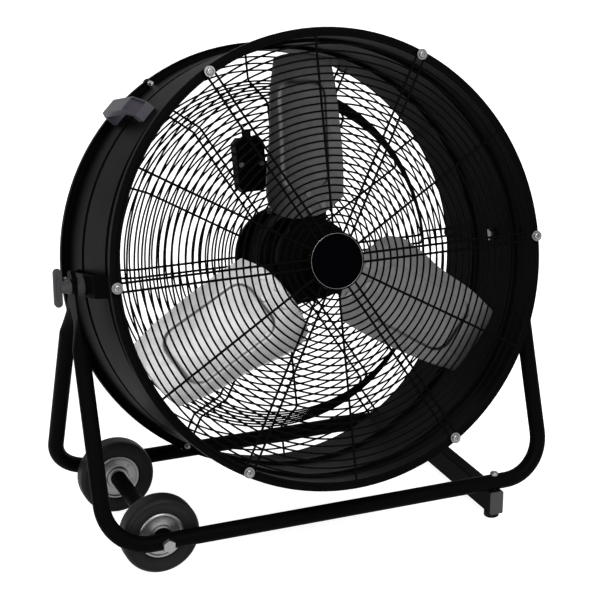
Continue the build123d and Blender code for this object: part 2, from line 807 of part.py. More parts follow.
with BuildPart() as front_cap:
    with BuildSketch(drum_section):
        Polygon(
            (shaft_d / 2 + 1, motor_front), (bearing_radius + bearing_seat, motor_front),
            (motor_radius - 14, motor_front - 5), (motor_radius, housing_front + 4), (motor_radius, housing_front),
            (motor_radius - cap_wall, housing_front), (motor_radius - 16, motor_front - 5 - cap_wall),
            (bearing_radius + bearing_seat, motor_front - cap_wall - 2),
            (bearing_radius + bearing_seat, front_bearing_back), (bearing_radius, front_bearing_back),
            (bearing_radius, motor_front - cap_wall), (shaft_d / 2 + 1, motor_front - cap_wall),
            align=None,
        )
    revolve(axis=drum_axis)
save(front_cap.part, "motor_front_cap")

with BuildPart() as bearings:
    for back in (rear_bearing_back, front_bearing_back):
        with BuildSketch(drum.offset(back)):
            Circle(bearing_radius)
            Circle(bearing_bore, mode=Mode.SUBTRACT)
        extrude(amount=bearing_wide)
save(bearings.part, "motor_bearings")

with BuildPart() as stator:
    with BuildSketch(drum.offset(stator_back)):
        Circle(motor_radius - motor_wall)
        Circle(stator_inner, mode=Mode.SUBTRACT)
    extrude(amount=stator_long)
save(stator.part, "stator")

# ------------------------------------------------------------------ fan
nut_back = hub_front
shaft_front = nut_back + hub_nut_high + shaft_past_nut
shaft_back = rear_bearing_back + 0.5

with BuildPart() as rotor_shaft:
    with BuildSketch(drum.offset(shaft_back)):
        Circle(shaft_d / 2)
    extrude(amount=shaft_front - shaft_back)
save(rotor_shaft.part, "rotor_shaft")

with BuildPart() as rotor_core:
    with BuildSketch(drum.offset(stator_back)):
        Circle(stator_inner - rotor_gap)
        Circle(shaft_d / 2, mode=Mode.SUBTRACT)
    extrude(amount=stator_long)
save(rotor_core.part, "rotor_core")

with BuildPart() as hub_nut:
    with BuildSketch(drum.offset(nut_back)):
        hexagon(hub_nut_across)
        Circle(shaft_d / 2, mode=Mode.SUBTRACT)
    extrude(amount=hub_nut_high)
save(hub_nut.part, "hub_nut")


def blade_plane(angle):
    """Plane of a blade: x outwards, y along the chord to its forward edge, z off its front."""
    outward = Vector(*polar(1, angle), 0)
    round_the_hub = Vector(*polar(1, angle + 90), 0)
    pitch = math.radians(blade_pitch)
    chord = round_the_hub * math.cos(pitch) + Vector(0, 0, 1) * math.sin(pitch)
    normal = outward.cross(chord)
    return Plane(
        origin=drum_point(0, 0, fan_middle), x_dir=drum_direction(*outward), z_dir=drum_direction(*normal)
    )


def cambered_slab(plane, radius, thick, start, end):
    """Curved slab across the chord, with its hollow side forward, from start to end outwards.

    Every slab of a blade has the same centre of curvature; radius is its front side's.
    """
    section = Plane(origin=plane.from_local_coords(Vector(start, 0, 0)), x_dir=plane.y_dir, z_dir=plane.x_dir)
    centre = blade_camber - blade_dip
    with BuildPart() as slab:
        with BuildSketch(section):
            with BuildLine():
                sides = []
                for side_radius in (radius, radius + thick):
                    half = side_radius * math.sin(slab_reach)
                    rise = centre - side_radius * math.cos(slab_reach)
                    sides.append(ThreePointArc((-half, rise), (0, centre - side_radius), (half, rise)))
                Line(sides[0] @ 0, sides[1] @ 0)
                Line(sides[0] @ 1, sides[1] @ 1)
            make_face()
        extrude(amount=end - start)
    return slab.part


def rivet_plane(plane, place, radius):
    """Plane that touches a slab's side of that radius where a rivet stands, facing forward."""
    lean = math.asin(place[1] / blade_camber)
    spot = Vector(place[0], radius * math.sin(lean), blade_camber - blade_dip - radius * math.cos(lean))
    forward = plane.from_local_coords(Vector(0, -math.sin(lean), math.cos(lean))) - plane.origin
    return Plane(origin=plane.from_local_coords(spot), x_dir=plane.x_dir, z_dir=forward)


blade_angles = [first_blade + 360 / blade_count * index for index in range(blade_count)]

def make_blade(angle):
    """Pressed blade with its raised panel and rivet holes."""
    plane = blade_plane(angle)
    with BuildPart() as blade:
        add(cambered_slab(plane, blade_camber, blade_sheet, 20, blade_tip + 20))
        with BuildSketch(plane.offset(-40)) as outline:
            with BuildLine():
                Polyline(
                    *blade_lead, (blade_tip - 4.5 * tip_round, 1.25 * tip_lead), (blade_tip - tip_round, tip_lead),
                    (blade_tip + 1, 0), (blade_tip - tip_round, tip_trail), *blade_trail,
                )
                ThreePointArc(blade_trail[-1], (hub_radius + blade_root_gap, 2), blade_lead[0])
            make_face()
            fillet(outline.vertices().group_by(Axis(plane.origin, plane.x_dir))[-1], 5)
        extrude(amount=80, mode=Mode.INTERSECT)
        with BuildPart(mode=Mode.PRIVATE) as raised:
            add(cambered_slab(plane, blade_camber - panel_raise, panel_raise, 60, panel_outer + 10))
            with BuildSketch(plane.offset(-40)):
                with Locations(((panel_inner + panel_outer) / 2, (panel_low + panel_high) / 2)):
                    RectangleRounded(panel_outer - panel_inner, panel_high - panel_low, panel_corner)
            extrude(amount=80, mode=Mode.INTERSECT)
        add(raised.part)
        for place in rivet_places:
            with BuildSketch(rivet_plane(plane, place, blade_camber)):
                Circle(rivet_d / 2 + running)
            extrude(amount=2 * blade_sheet, both=True, mode=Mode.SUBTRACT)
    return blade.part


for index, angle in enumerate(blade_angles, start=1):
    save(make_blade(angle), f"blade_{index}")

with BuildPart() as hub:
    with BuildSketch(drum.offset(hub_back)):
        Circle(hub_radius)
    extrude(amount=hub_deep)
    for angle in blade_angles:
        plane = blade_plane(angle)
        with BuildPart(mode=Mode.PRIVATE) as arm:
            add(cambered_slab(plane, blade_camber + blade_sheet, arm_thick, 30, arm_end))
            with BuildSketch(plane.offset(-40)):
                with Locations(((30 + arm_end) / 2, 4)):
                    RectangleRounded(arm_end - 30, arm_wide, 12)
            extrude(amount=80, mode=Mode.INTERSECT)
            for place in rivet_places:
                with BuildSketch(rivet_plane(plane, place, blade_camber)):
                    Circle(rivet_d / 2 + running)
                extrude(amount=2 * (blade_sheet + arm_thick), both=True, mode=Mode.SUBTRACT)
        add(arm.part)
    with BuildSketch(drum.offset(hub_back)):
        Circle(hub_radius - hub_wall)
        Circle(hub_boss_radius, mode=Mode.SUBTRACT)
    extrude(amount=hub_deep - hub_wall, mode=Mode.SUBTRACT)
    with BuildSketch(drum.offset(hub_back)):
        Circle(shaft_d / 2)
    extrude(amount=hub_deep, mode=Mode.SUBTRACT)
save(hub.part, "fan_hub")

head_lift = (rivet_head_d / 2) ** 2 / (2 * blade_camber) + running / 5      # over the blade's hollow
with BuildPart() as rivets:
    for angle in blade_angles:
        for place in rivet_places:
            front = rivet_plane(blade_plane(angle), place, blade_camber)
            tail = front.offset(-blade_sheet - arm_thick)
            with BuildSketch(front.offset(head_lift)):
                Circle(rivet_head_d / 2)
            extrude(amount=rivet_head_high)
            with BuildSketch(front.offset(head_lift)):
                Circle(rivet_d / 2)
            extrude(amount=-(head_lift + blade_sheet + arm_thick))
            with BuildSketch(tail):
                Circle(rivet_head_d * 0.4)
            extrude(amount=-rivet_head_high / 2)
save(rivets.part, "blade_rivets")

# ------------------------------------------------------------------ switch box
box_ring = rear_first_ring + ring_pitch * 6
box_radius = box_ring + ring_pitch / 2      # its knob's shaft passes between two rings
box_back = rear_middle_plane + ring_wire / 2
box_front = box_back + box_deep
box_x, box_y = polar(box_radius, box_angle)
knob_shaft_hole = knob_shaft_d / 2 + running
gland_y = box_y + box_tall / 2
gland_depth = box_back + box_deep / 2


def box_plane(depth):
    """Plane across the switch box at a depth."""
    return Plane(origin=drum_point(box_x, box_y, depth), x_dir=drum.x_dir, z_dir=drum.z_dir)


with BuildPart() as switch_box:
    with BuildSketch(box_plane(box_back)) as outline:
        Rectangle(box_wide, box_tall)
        chamfer(outline.vertices(), box_corner)
    extrude(amount=box_deep - lid_thick)
    with BuildSketch(box_plane(box_back + box_wall)) as inside:
        Rectangle(box_wide - 2 * box_wall, box_tall - 2 * box_wall)
        chamfer(inside.vertices(), box_corner)
        with GridLocations(box_wide - 2 * lid_screw_inset, box_tall / 3, 2, 1):
            Circle(lid_screw_d, mode=Mode.SUBTRACT)
    extrude(amount=box_deep, mode=Mode.SUBTRACT)
    with BuildSketch(box_plane(box_back)):
        Circle(knob_shaft_hole)
    extrude(amount=box_wall, mode=Mode.SUBTRACT)
    with BuildSketch(box_plane(box_front - lid_thick)):
        with GridLocations(box_wide - 2 * lid_screw_inset, box_tall / 3, 2, 1):
            Circle(lid_screw_d / 2)
    extrude(amount=-10, mode=Mode.SUBTRACT)
    gland_seat = Plane(origin=drum_point(box_x, gland_y, gland_depth), x_dir=drum.x_dir, z_dir=drum.y_dir)
    with BuildSketch(gland_seat):
        Circle(gland_bore_d / 2)
    extrude(amount=-box_wall, mode=Mode.SUBTRACT)
save(switch_box.part, "switch_box")

with BuildPart() as lid:
    with BuildSketch(box_plane(box_front - lid_thick)) as outline:
        Rectangle(box_wide, box_tall)
        chamfer(outline.vertices(), box_corner)
        with GridLocations(box_wide - 2 * lid_screw_inset, box_tall / 3, 2, 1):
            Circle(lid_screw_d / 2 + hole_gap, mode=Mode.SUBTRACT)
    extrude(amount=lid_thick)
save(lid.part, "switch_box_lid")

with BuildPart() as lid_screws:
    with BuildSketch(box_plane(box_front)):
        with GridLocations(box_wide - 2 * lid_screw_inset, box_tall / 3, 2, 1):
            Circle(lid_screw_head_d / 2)
    extrude(amount=lid_screw_head_high)
    with BuildSketch(box_plane(box_front)):
        with GridLocations(box_wide - 2 * lid_screw_inset, box_tall / 3, 2, 1):
            Circle(lid_screw_d / 2)
    extrude(amount=-10)
save(lid_screws.part, "switch_box_screws")

with BuildPart() as gland:
    with BuildSketch(gland_seat):
        Circle(gland_d / 2)
        Circle(gland_bore_d / 2, mode=Mode.SUBTRACT)
    extrude(amount=gland_long)
save(gland.part, "cable_gland")

knob_face = rear_middle_plane - wire_step - spoke_wire / 2 - knob_guard_gap
with BuildPart() as speed_knob:
    with BuildSketch(box_plane(knob_face)):
        Circle(knob_d / 2)
    extrude(amount=-knob_high)
    chamfer(speed_knob.faces().sort_by(drum_axis)[0].edges(), 1.5)
    with BuildSketch(box_plane(knob_face - knob_high)):
        Rectangle(4, knob_d - 4)
    extrude(amount=-4)
    with BuildSketch(box_plane(knob_face)):
        Circle(knob_shaft_d / 2)
    extrude(amount=box_back + box_wall + 8 - knob_face)
save(speed_knob.part, "speed_knob")

# ------------------------------------------------------------------ handle
handle_side = drum_direction(*polar(1, handle_angle + 90), 0)
handle_plane = Plane(origin=pivot, x_dir=handle_out, z_dir=handle_side * -1)      # x outwards
if handle_plane.y_dir.dot(drum.z_dir) < 0:
    handle_plane = Plane(origin=pivot, x_dir=handle_out, z_dir=handle_side)
handle_foot = math.sqrt(shell_radius**2 - (handle_wide / 2) ** 2)
handle_toe = handle_top - (handle_top - shell_radius) / 2

with BuildPart() as handle:
    with BuildSketch(handle_plane) as profile:
        Polygon(
            (handle_foot, handle_front), (handle_toe, handle_front - 3), (handle_top, handle_crest_front),
            (handle_top, handle_crest_rear), (handle_under, handle_rear),
            (handle_foot, handle_rear), (handle_foot, handle_crest_rear + 5),
            (handle_under, handle_crest_rear - 2), (handle_under, handle_crest_front - 4),
            (handle_foot + 14, 0), (handle_foot, 0),
            align=None,
        )
        fillet(profile.vertices().filter_by(lambda v: handle_foot + 10 < (v.center() - pivot).dot(handle_out)), 3)
    extrude(amount=handle_wide / 2, both=True)
    with BuildSketch(handle_plane):
        Polygon(
            (handle_top + 5, handle_crest_front - handle_lip - 5),
            (handle_top - handle_recess, handle_crest_front - handle_lip),
            (handle_toe - handle_recess, handle_front - 3 - handle_lip),
            (handle_toe + 20, handle_front - 3 - handle_lip),
            align=None,
        )
    extrude(amount=handle_wide / 2 - handle_lip, both=True, mode=Mode.SUBTRACT)
    with BuildSketch(drum):
        Circle(shell_radius)
    extrude(amount=rear_depth, both=True, mode=Mode.SUBTRACT)
    for depth in handle_screw_depths:
        with BuildSketch(Plane(origin=drum_point(0, 0, depth) + handle_out * (shell_radius - 2), z_dir=handle_out)):
            Circle(handle_screw_d / 2)
        extrude(amount=handle_screw_deep, mode=Mode.SUBTRACT)
save(handle.part, "handle")

with BuildPart() as handle_screws:
    for depth in handle_screw_depths:
        seat = drum_point(0, 0, depth) + handle_out * (shell_radius - sheet - 0.05)
        with BuildSketch(Plane(origin=seat, z_dir=handle_out)):
            Circle(handle_screw_head_d / 2)
        extrude(amount=-handle_screw_head_high)
        with BuildSketch(Plane(origin=seat, z_dir=handle_out)):
            Circle(handle_screw_d / 2)
        extrude(amount=handle_screw_deep - 2)
save(handle_screws.part, "handle_screws")

# ------------------------------------------------------------------ pivots
def side_section(side):
    """Plane across the pivot axis, facing outwards; side is -1 left or 1 right."""
    return Plane(origin=pivot, x_dir=drum.z_dir, z_dir=(side, 0, 0))


def pivot_bracket(side):
    """Hat-shaped bracket that holds the pivot bolt clear of the shell."""
    hat_plane = Plane(origin=pivot, x_dir=drum.z_dir, z_dir=drum.y_dir * side)     # x depth, y outwards
    face = bracket_face - bracket_sheet / 2
    foot = shell_radius + bracket_sheet / 2
    with BuildPart() as bracket:
        with BuildSketch(hat_plane):
            with BuildLine():
                FilletPolyline(
                    (-bracket_foot_out, foot), (-bracket_foot_in, foot), (-bracket_top_half, face),
                    (bracket_top_half, face), (bracket_foot_in, foot), (bracket_foot_out, foot),
                    radius=4,
                )
                offset(amount=bracket_sheet / 2, side=Side.BOTH)
            make_face()
        extrude(amount=bracket_tall / 2, both=True)
        with BuildSketch(side_section(side)):
            Circle(pivot_hole)
            with GridLocations(2 * bracket_rivet_depth, bracket_rivet_row, 2, 2):
                Circle(bracket_rivet_hole)
        extrude(amount=bracket_face + 1, mode=Mode.SUBTRACT)
    return bracket.part


def pivot_bolt(side):
    """Bolt from inside the shell out through the bracket and the two eyes of the stand."""
    head_seat = side_section(side).offset(
        math.sqrt((shell_radius - sheet) ** 2 - (pivot_head_across * 0.58) ** 2)
    )
    with BuildPart() as bolt:
        with BuildSketch(head_seat):
            hexagon(pivot_head_across)
        extrude(amount=-pivot_head_high)
        with BuildSketch(head_seat):
            Circle(pivot_bolt_d / 2)
        extrude(amount=eye_outside + knob_hub_long - 2 - (head_seat.origin - pivot).length)
    return bolt.part


save(Compound(children=[pivot_bracket(side) for side in (-1, 1)]), "pivot_brackets")
save(Compound(children=[pivot_bolt(side) for side in (-1, 1)]), "pivot_bolts")

with BuildPart() as spacers:
    for side in (-1, 1):
        across = side_section(side)
        with BuildSketch(across.offset(bracket_face)):
            Circle(pivot_spacer_d / 2)
            Circle(pivot_bolt_d / 2, mode=Mode.SUBTRACT)
        extrude(amount=rear_eye - bracket_face)
save(spacers.part, "pivot_spacers")

with BuildPart() as bracket_rivets:
    for side in (-1, 1):
        across = side_section(side)
        with BuildSketch(across.offset(shell_radius + bracket_sheet)):
            with GridLocations(2 * bracket_rivet_depth, bracket_rivet_row, 2, 2):
                Circle(bracket_rivet_head_d / 2)
        extrude(amount=bracket_rivet_head_high)
        with BuildSketch(across.offset(shell_radius + bracket_sheet)):
            with GridLocations(2 * bracket_rivet_depth, bracket_rivet_row, 2, 2):
                Circle(bracket_rivet_hole)
        extrude(amount=-(bracket_sheet + sheet + 2))
save(bracket_rivets.part, "bracket_rivets")


def make_wing_knob(side):
    """Butterfly knob that clamps the stand's eyes on the pivot bolt."""
    across = Plane(origin=pivot, x_dir=(0, 1, 0), z_dir=(side, 0, 0))
    along = Plane(origin=pivot, x_dir=(side, 0, 0), z_dir=(0, -side, 0))        # x outwards, y up
    hub_end = eye_outside + knob_hub_long
    with BuildPart() as knob:
        with BuildSketch(across.offset(eye_outside)):
            Circle(knob_hub_d / 2)
        extrude(amount=knob_hub_long, taper=4)
        with BuildSketch(along) as wings:
            Polygon(
                (hub_end - 4, -9), (hub_end + 4, -wing_reach + 2), (wing_end - 5, -wing_reach),
                (wing_end, -wing_reach + 6), (wing_end - 7, -7), (wing_end - 9, 0), (wing_end - 7, 7),
                (wing_end, wing_reach - 6), (wing_end - 5, wing_reach), (hub_end + 4, wing_reach - 2),
                (hub_end - 4, 9),
                align=None,
            )
            fillet(wings.vertices(), 2)
        extrude(amount=wing_thick / 2, both=True)
        with BuildSketch(across.offset(eye_outside)):
            Circle(pivot_bolt_d / 2 + running)
        extrude(amount=knob_hub_long - 1, mode=Mode.SUBTRACT)
    return knob.part


save(make_wing_knob(-1), "left_wing_knob")
save(make_wing_knob(1), "right_wing_knob")
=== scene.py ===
"""A drum fan on a wheeled stand: its finishes, its detailed pieces and a plain studio.

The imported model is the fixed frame. Lengths are metres: +X right, +Y back, +Z up, the floor at 0.
"""

import json
import logging
import math
from dataclasses import dataclass, field
from enum import Enum
from typing import Any, Iterable, Sequence

import bpy
from mathutils import Matrix, Vector

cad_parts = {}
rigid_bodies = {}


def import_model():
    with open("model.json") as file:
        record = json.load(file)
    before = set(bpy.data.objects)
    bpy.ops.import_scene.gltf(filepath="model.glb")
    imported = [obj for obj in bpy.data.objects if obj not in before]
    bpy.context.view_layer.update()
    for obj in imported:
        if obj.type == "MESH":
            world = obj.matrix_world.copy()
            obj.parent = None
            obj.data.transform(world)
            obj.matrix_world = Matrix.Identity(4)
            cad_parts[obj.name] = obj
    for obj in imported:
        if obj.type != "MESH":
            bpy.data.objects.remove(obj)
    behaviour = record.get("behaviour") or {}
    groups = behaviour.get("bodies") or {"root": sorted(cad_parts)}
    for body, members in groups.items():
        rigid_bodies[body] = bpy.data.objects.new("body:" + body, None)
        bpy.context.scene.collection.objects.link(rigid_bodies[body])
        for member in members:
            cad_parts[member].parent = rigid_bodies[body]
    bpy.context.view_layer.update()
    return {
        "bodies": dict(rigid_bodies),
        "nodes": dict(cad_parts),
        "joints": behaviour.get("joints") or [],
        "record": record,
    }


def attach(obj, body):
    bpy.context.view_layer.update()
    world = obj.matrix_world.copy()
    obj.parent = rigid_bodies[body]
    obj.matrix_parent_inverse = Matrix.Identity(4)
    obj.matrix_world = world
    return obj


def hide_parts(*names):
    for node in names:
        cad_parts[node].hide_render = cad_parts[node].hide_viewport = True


LOG = logging.getLogger("drum_fan")
Colour = tuple[float, float, float]
WHITE = (1.0, 1.0, 1.0, 1.0)


class Side(Enum):
    """Left or right of the fan, as the sign of x."""

    LEFT = -1
    RIGHT = 1


# ---------------------------------------------------------------- where things are
@dataclass(frozen=True)
class Seat:
    """A place with an axis: along runs with the axis, out and across lie square to it."""

    origin: Vector
    along: Vector
    out: Vector

    @property
    def across(self) -> Vector:
        """The third direction, a quarter turn from out about the axis."""
        return self.along.cross(self.out)

    def point(self, out: float, along: float, across: float = 0.0) -> Vector:
        """The point at these distances from the seat's origin, in metres."""
        return self.origin + self.out * out + self.along * along + self.across * across

    def turned(self, degrees: float) -> "Seat":
        """The same seat turned about its axis."""
        turn = Matrix.Rotation(math.radians(degrees), 3, self.along)
        return Seat(self.origin, self.along, turn @ self.out)

    def frame(self) -> Matrix:
        """The matrix that takes (out, across, along) coordinates to the fan's frame."""
        columns = Matrix((self.out, self.across, self.along)).transposed().to_4x4()
        return Matrix.Translation(self.origin) @ columns


TILT = math.radians(14.3)
PIVOT = Vector((0.0, -0.0165, 0.426))
DRUM = Seat(PIVOT, Vector((0.0, -math.cos(TILT), math.sin(TILT))), Vector((1.0, 0.0, 0.0)))


# ---------------------------------------------------------------- finishes
class Wiring:
    """A node tree while it is being wired."""

    def __init__(self, tree: bpy.types.NodeTree) -> None:
        """Start with an empty tree."""
        self.tree = tree
        self.tree.nodes.clear()

    def add(self, kind: str, sockets: dict[str | int, Any] | None = None, **settings: Any) -> bpy.types.Node:
        """Add a node, set its options and feed its sockets.

        Args:
            kind: The node's type without its ShaderNode prefix.
            sockets: Values or output sockets for its inputs.
            settings: The node's own options.

        Returns:
            The new node.
        """
        node = self.tree.nodes.new(f"ShaderNode{kind}")
        for option, value in settings.items():
            setattr(node, option, value)
        for socket, value in (sockets or {}).items():
            self.feed(node.inputs[socket], value)
        return node

    def feed(self, socket: bpy.types.NodeSocket, value: Any) -> None:
        """Link an output to a socket, or set the socket's own value.

        Args:
            socket: The input to feed.
            value: An output socket, or a plain value.
        """
        if isinstance(value, bpy.types.NodeSocket):
            self.tree.links.new(value, socket)
        else:
            socket.default_value = value

    def place(self, source: str = "Object") -> bpy.types.NodeSocket:
        """The coordinates that patterns read: the object's own, or its UV map."""
        return self.add("TexCoord").outputs[source]

    def noise(self, where: Any, per_metre: float, detail: float = 2.0) -> bpy.types.NodeSocket:
        """Even noise from 0 to 1."""
        sockets = {"Vector": where, "Scale": per_metre, "Detail": detail, "Roughness": 0.55}
        return self.add("TexNoise", sockets).outputs["Fac"]

    def stretched(self, where: Any, stretch: Sequence[float]) -> bpy.types.NodeSocket:
        """Coordinates scaled apart along each axis."""
        return self.add("Mapping", {"Vector": where, "Scale": tuple(stretch)}).outputs[0]

    def span(self, value: Any, low: float, high: float, start: float = 0.3, end: float = 0.7) -> bpy.types.NodeSocket:
        """Take a value evenly from one range to another.

        Args:
            value: What is read.
            low: The result at start.
            high: The result at end.
            start: Where the reading starts.
            end: Where it ends.

        Returns:
            The result's socket.
        """
        sockets = {"Value": value, "From Min": start, "From Max": end, "To Min": low, "To Max": high}
        return self.add("MapRange", sockets).outputs[0]

    def blend(self, share: Any, first: Any, second: Any) -> bpy.types.NodeSocket:
        """Mix two colours.

        Args:
            share: How much of the second is in the mix, from 0 to 1.
            first: The colour at share 0.
            second: The colour at share 1.

        Returns:
            The mixed colour's socket.
        """
        mix = self.add("Mix", data_type="RGBA")
        for socket, value in (("Factor", share), (6, first), (7, second)):
            self.feed(mix.inputs[socket], opaque(value))
        return mix.outputs[2]

    def bump(self, height: Any, depth: float, strength: float, under: Any = None) -> bpy.types.NodeSocket:
        """A surface relief.

        Args:
            height: The pattern that stands for height.
            depth: How deep it goes, in metres.
            strength: How much of it is felt.
            under: The normal of a relief below this one.

        Returns:
            The normal's socket.
        """
        sockets = {"Height": height, "Distance": depth, "Strength": strength}
        if under is not None:
            sockets["Normal"] = under
        return self.add("Bump", sockets).outputs[0]

    def seen(self) -> bpy.types.NodeSocket:
        """1 for rays that show the surface itself: from the camera, a reflection or through glass."""
        light_path = self.add("LightPath").outputs
        both = self.add("Math", {0: light_path["Is Camera Ray"], 1: light_path["Is Glossy Ray"]}, operation="MAXIMUM")
        through = {0: both.outputs[0], 1: light_path["Is Transmission Ray"]}
        return self.add("Math", through, operation="MAXIMUM").outputs[0]


class Shader(Wiring):
    """A material's wiring, which ends in one surface shader."""

    def __init__(self, name: str) -> None:
        """Start an empty material that ends in one surface shader."""
        self.material = bpy.data.materials.new(name)
        self.material.use_nodes = True
        super().__init__(self.material.node_tree)
        output = self.tree.nodes.new("ShaderNodeOutputMaterial")
        self.surface = self.tree.nodes.new("ShaderNodeBsdfPrincipled")
        self.tree.links.new(self.surface.outputs[0], output.inputs["Surface"])


def opaque(value: Any) -> Any:
    """A colour with its alpha; anything else as it is."""
    return (*value, 1.0) if isinstance(value, tuple) and len(value) == 3 else value


@dataclass(frozen=True)
class Finish:
    """A surface as its maker would order it."""

    name: str
    colour: Colour
    roughness: float
    metallic: float = 0.0
    specular: float = 0.5
    mottle: float = 0.15            # how far colour wanders over the piece
    mottle_per_metre: float = 9.0
    grain_per_metre: float = 900.0
    grain_depth: float = 0.00004
    grain_strength: float = 0.25
    roughness_swing: float = 0.08

    def pattern(self, shader: Shader, where: Any) -> tuple[Any, Any, Any]:
        """The colour, roughness and normal of the finish.

        Args:
            shader: The tree to wire.
            where: The coordinates that the pattern follows.

        Returns:
            Sockets or values for colour, roughness and normal.
        """
        cloud = shader.noise(where, self.mottle_per_metre, 4.0)
        light = tuple(min(1.0, part * (1 + self.mottle)) for part in self.colour)
        dark = tuple(part * (1 - self.mottle) for part in self.colour)
        colour = shader.blend(shader.span(cloud, 0.0, 1.0), dark, light)
        roughness = shader.span(
            cloud, self.roughness * (1 + self.roughness_swing), self.roughness * (1 - self.roughness_swing),
        )
        grain = shader.noise(where, self.grain_per_metre, 1.0)
        return colour, roughness, shader.bump(grain, self.grain_depth, self.grain_strength)

    def coordinates(self) -> str:
        """The texture coordinate output that the pattern reads."""
        return "Object"

    def material(self) -> bpy.types.Material:
        """Wire the finish into a material."""
        shader = Shader(self.name)
        colour, roughness, normal = self.pattern(shader, shader.place(self.coordinates()))
        surface = shader.surface
        for socket, value in (("Base Color", opaque(colour)), ("Roughness", roughness), ("Normal", normal)):
            shader.feed(surface.inputs[socket], value)
        surface.inputs["Metallic"].default_value = self.metallic
        surface.inputs["Specular IOR Level"].default_value = self.specular
        return shader.material


@dataclass(frozen=True)
class PowderCoat(Finish):
    """Baked powder paint: a fine orange peel under a soft gloss."""

    peel_per_metre: float = 260.0
    peel_depth: float = 0.00006
    peel_strength: float = 0.5

    def pattern(self, shader: Shader, where: Any) -> tuple[Any, Any, Any]:
        """The plain pattern with the paint's orange peel under its grain."""
        colour, roughness, _ = super().pattern(shader, where)
        peel = shader.bump(shader.noise(where, self.peel_per_metre, 1.0), self.peel_depth, self.peel_strength)
        grain = shader.noise(where, self.grain_per_metre, 1.0)
        return colour, roughness, shader.bump(grain, self.grain_depth, self.grain_strength, peel)


@dataclass(frozen=True)
class GalvanisedSheet(Finish):
    """Rolled sheet with a faint zinc spangle and rolling lines along the blade."""

    spangle_per_metre: float = 85.0
    spangle_contrast: float = 0.10
    lines_per_metre: float = 700.0

    def coordinates(self) -> str:
        """Rolling lines follow the blade, so its UV map is read."""
        return "UV"

    def pattern(self, shader: Shader, where: Any) -> tuple[Any, Any, Any]:
        """Spangle and rolling lines."""
        cells = shader.add("TexVoronoi", {"Vector": where, "Scale": self.spangle_per_metre})
        tone = shader.add("SeparateColor", {"Color": cells.outputs["Color"]}).outputs["Red"]
        lines = shader.noise(shader.stretched(where, (0.02, 1.0, 1.0)), self.lines_per_metre, 3.0)
        cloud = shader.noise(where, self.mottle_per_metre, 4.0)
        worn = shader.add("Math", {0: tone, 1: lines}, operation="ADD").outputs[0]
        share = shader.span(worn, 0.0, 1.0, 0.4, 1.6)
        light = tuple(min(1.0, part * (1 + self.spangle_contrast)) for part in self.colour)
        dark = tuple(part * (1 - self.spangle_contrast) for part in self.colour)
        roughness = shader.span(
            cloud, self.roughness * (1 - self.roughness_swing), self.roughness * (1 + self.roughness_swing),
        )
        relief = shader.bump(lines, self.grain_depth, self.grain_strength)
        return shader.blend(share, dark, light), roughness, relief


@dataclass(frozen=True)
class ZincPlate(Finish):
    """Zinc plating, polished where hands reach it and matt near the floor and inside the drum."""

    matt: Colour = (0.21, 0.21, 0.21)
    matt_roughness: float = 0.42
    floor_line: tuple[float, float] = (0.10, 0.15)      # heights between which the polish starts
    drum_middle: float = -0.015                         # of the stretch inside, along the drum's axis
    drum_reach: tuple[float, float] = (0.125, 0.135)

    def pattern(self, shader: Shader, where: Any) -> tuple[Any, Any, Any]:
        """The plain pattern blended with the matt plating."""
        colour, roughness, normal = super().pattern(shader, where)
        height = shader.add("SeparateXYZ", {"Vector": where}).outputs["Z"]
        raised = shader.span(height, 0.0, 1.0, *self.floor_line)
        along = shader.add("VectorMath", {0: where, 1: tuple(DRUM.along)}, operation="DOT_PRODUCT").outputs["Value"]
        middle = DRUM.along.dot(DRUM.origin) + self.drum_middle
        depth = shader.add("Math", {0: along, 1: middle}, operation="SUBTRACT").outputs[0]
        away = shader.add("Math", {0: depth}, operation="ABSOLUTE").outputs[0]
        outside = shader.span(away, 0.0, 1.0, *self.drum_reach)
        polished = shader.add("Math", {0: raised, 1: outside}, operation="MULTIPLY").outputs[0]
        sockets = {"Value": polished, "To Min": self.matt_roughness, "To Max": roughness}
        rough = shader.add("MapRange", sockets).outputs[0]
        return shader.blend(polished, self.matt, colour), rough, normal


@dataclass(frozen=True)
class Laminations(Finish):
    """Stacked sheet iron: fine lines square to the drum's axis."""

    sheets_per_metre: float = 1000.0
    line_depth: float = 0.0002
    line_strength: float = 0.6
    line_wander: float = 0.2

    def pattern(self, shader: Shader, where: Any) -> tuple[Any, Any, Any]:
        """Plain colour with the stack's lines as relief."""
        colour, roughness, _ = super().pattern(shader, where)
        turned = shader.add("Mapping", {"Vector": where, "Rotation": (TILT, 0.0, 0.0)}).outputs[0]
        sockets = {"Vector": turned, "Scale": self.sheets_per_metre / math.tau, "Distortion": self.line_wander}
        lines = shader.add("TexWave", sockets, bands_direction="Y").outputs["Fac"]
        return colour, roughness, shader.bump(lines, self.line_depth, self.line_strength)


BLACK: Colour = (0.0020, 0.0019, 0.0018)


